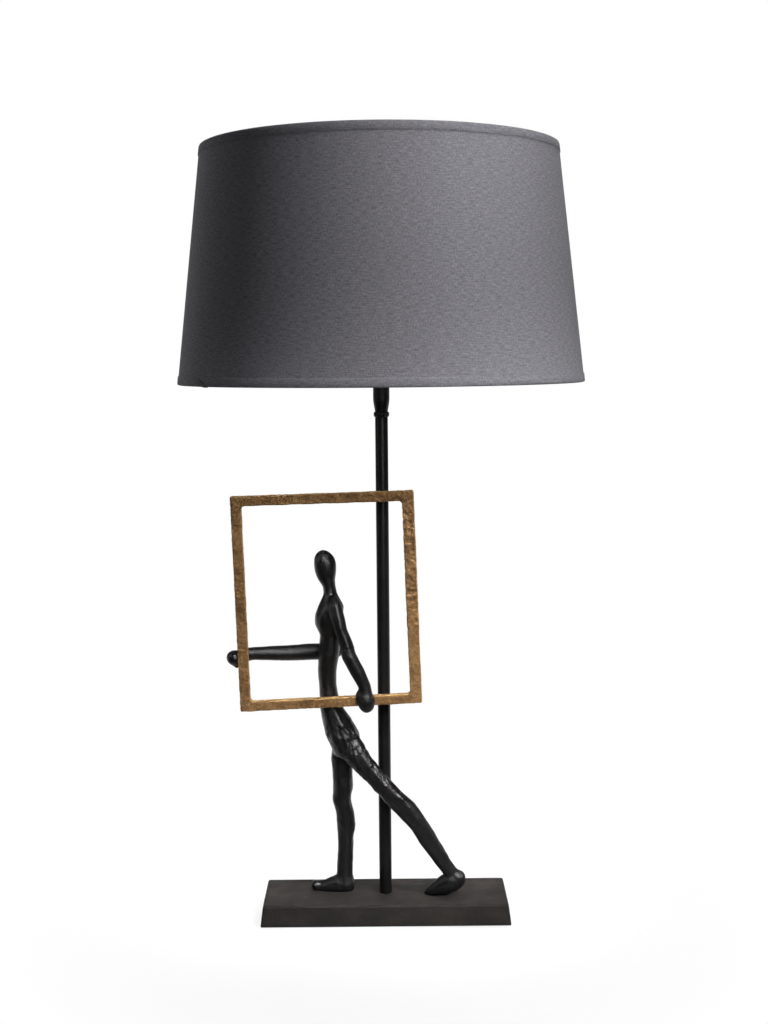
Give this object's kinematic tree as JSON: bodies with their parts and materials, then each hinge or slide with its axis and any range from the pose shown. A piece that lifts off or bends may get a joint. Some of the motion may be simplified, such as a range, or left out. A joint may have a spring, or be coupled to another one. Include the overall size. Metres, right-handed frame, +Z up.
{
  "type": "table lamp",
  "caption": "Table lamp with a cast walking figure that carries an empty picture frame, a straight tube on a slim base plate and a tapered drum shade.",
  "frame": {"origin": "on the table under the tube's axis, at the middle of the base plate", "axes": "+Z up along the tube, -Y towards the viewer of the picture, +X to the right; the figure walks towards -X"},
  "size_m": [0.4, 0.4, 0.7705],
  "materials": {
    "iron": "black waxed, hand cast, slightly rough",
    "base_iron": "dark brown-black, fine sand-cast grain",
    "tube": "satin black powder coat",
    "antique_brass": "hammered, antiqued, low gloss",
    "steel": "plain zinc plated",
    "felt": "black pressed felt",
    "rubber": "matt",
    "holder": "black moulded",
    "ceramic": "unglazed",
    "contact": "bright",
    "carrier": "white lacquer",
    "linen": "dark grey linen outside, stiff white lining inside",
    "tape": "same linen, folded over the rim",
    "cap": "thin rolled thread",
    "solder": "soldered tip",
    "opal": "opal white"
  },
  "bodies": {
    "stand": {"base_plate": "base_iron", "base_felt": "felt", "cord_bush": "rubber", "foot_screws": "steel", "base_nut": "steel", "pole": "tube", "lock_ring": "tube", "neck": "tube", "holder_cap": "holder", "holder_skirt": "holder", "contact_block": "ceramic", "side_contact": "contact", "lower_clamp_ring": "holder", "carried_frame": "antique_brass", "figure_body": "iron", "near_forearm": "iron", "far_forearm": "iron"},
    "shade": {"shade_carrier": "carrier", "shade_skin": "linen", "shade_top_rim": "tape", "shade_bottom_rim": "tape"},
    "clamp_ring": {"upper_clamp_ring": "holder"},
    "contact": {"centre_contact": "contact"},
    "bulb": {"bulb_tip": "solder", "bulb_cap": "cap", "bulb_glass": "opal"}
  },
  "joints": [
    {"name": "shade_swivel", "type": "hinge", "parent": "stand", "child": "shade", "pos_m": [0, 0, 0.6], "axis": [0, 0, 1], "continuous": true},
    {"name": "clamp_ring_turn", "type": "hinge", "parent": "stand", "child": "clamp_ring", "pos_m": [0, 0, 0.606], "axis": [0, 0, 1], "continuous": true},
    {"name": "contact_rise", "type": "slide", "parent": "stand", "child": "contact", "axis": [0, 0, 1], "range_m": [0, 0.00181]},
    {"name": "bulb_unscrew", "type": "hinge", "parent": "contact", "child": "bulb", "pos_m": [0, 0, 0.62], "axis": [0, 0, 1], "range_deg": [0, 180]}
  ],
  "couplings": [
    {"joint": "bulb_unscrew", "follows": "contact_rise", "rad_per_m": 1731.4}
  ]
}
